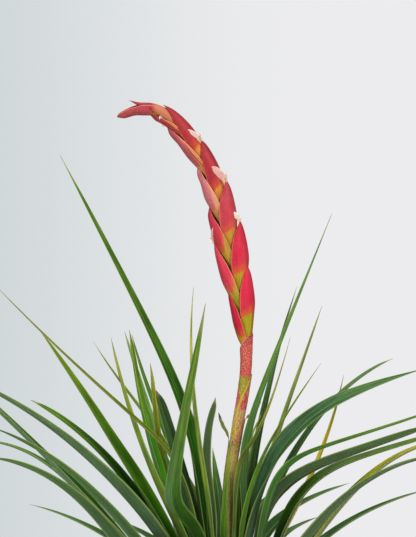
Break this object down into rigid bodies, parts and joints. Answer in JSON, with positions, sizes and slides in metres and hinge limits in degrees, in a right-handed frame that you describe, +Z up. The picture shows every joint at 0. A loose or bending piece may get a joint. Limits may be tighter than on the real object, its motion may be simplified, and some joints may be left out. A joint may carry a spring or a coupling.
{
  "type": "air plant in flower",
  "caption": "Tillandsia air plant: a rosette of narrow channelled leaves on a short stem, and one arching spike of folded pink bracts with small white flowers.",
  "frame": {"origin": "centre of the flat cut foot of the stem, on the surface that the plant stands on", "axes": "+Z up, +X to the right and +Y away from the viewer as in the picture; the flower spike arches over towards -X"},
  "size_m": [0.1816, 0.1902, 0.1936],
  "materials": {
    "leaf_dark": "matt",
    "leaf_green": "matt",
    "leaf_grey": "matt",
    "leaf_olive": "matt",
    "bract_pink": "satin",
    "bract_red": "satin",
    "sheath": "dry, scurfy",
    "stalk": "satin",
    "petal": "soft"
  },
  "bodies": {
    "root": {"leaf_01": "leaf_green", "leaf_02": "leaf_dark", "leaf_03": "leaf_olive", "leaf_04": "leaf_dark", "leaf_05": "leaf_olive", "leaf_06": "leaf_dark", "leaf_07": "leaf_olive", "leaf_08": "leaf_green", "leaf_09": "leaf_grey", "leaf_10": "leaf_dark", "leaf_11": "leaf_green", "leaf_12": "leaf_green", "leaf_13": "leaf_olive", "leaf_14": "leaf_dark", "leaf_15": "leaf_olive", "leaf_16": "leaf_dark", "leaf_17": "leaf_dark", "leaf_18": "leaf_grey", "leaf_19": "leaf_green", "leaf_20": "leaf_olive", "leaf_21": "leaf_dark", "leaf_22": "leaf_grey", "leaf_23": "leaf_olive", "leaf_24": "leaf_green", "leaf_25": "leaf_green", "leaf_26": "leaf_dark", "leaf_27": "leaf_olive", "leaf_28": "leaf_grey", "leaf_29": "leaf_grey", "leaf_30": "leaf_dark", "leaf_31": "leaf_dark", "leaf_32": "leaf_olive", "leaf_33": "leaf_dark", "leaf_34": "leaf_green", "leaf_35": "leaf_dark", "leafy_stem": "leaf_grey", "flower_stalk": "stalk", "stalk_bract_01": "sheath", "stalk_bract_02": "sheath", "stalk_bract_03": "sheath", "stalk_bract_04": "bract_pink", "flower_bract_01": "bract_pink", "flower_bract_02": "bract_pink", "flower_bract_03": "bract_pink", "flower_bract_04": "bract_pink", "flower_bract_05": "bract_pink", "flower_bract_06": "bract_pink", "flower_bract_07": "bract_pink", "flower_bract_08": "bract_pink", "flower_bract_09": "bract_red", "flower_bract_10": "bract_red", "flower_bract_11": "bract_red", "flower_bract_12": "bract_red", "flower_bract_13": "bract_red", "flower_1": "petal", "flower_2": "petal", "flower_3": "petal", "flower_4": "petal", "flower_5": "petal"}
  },
  "joints": []
}
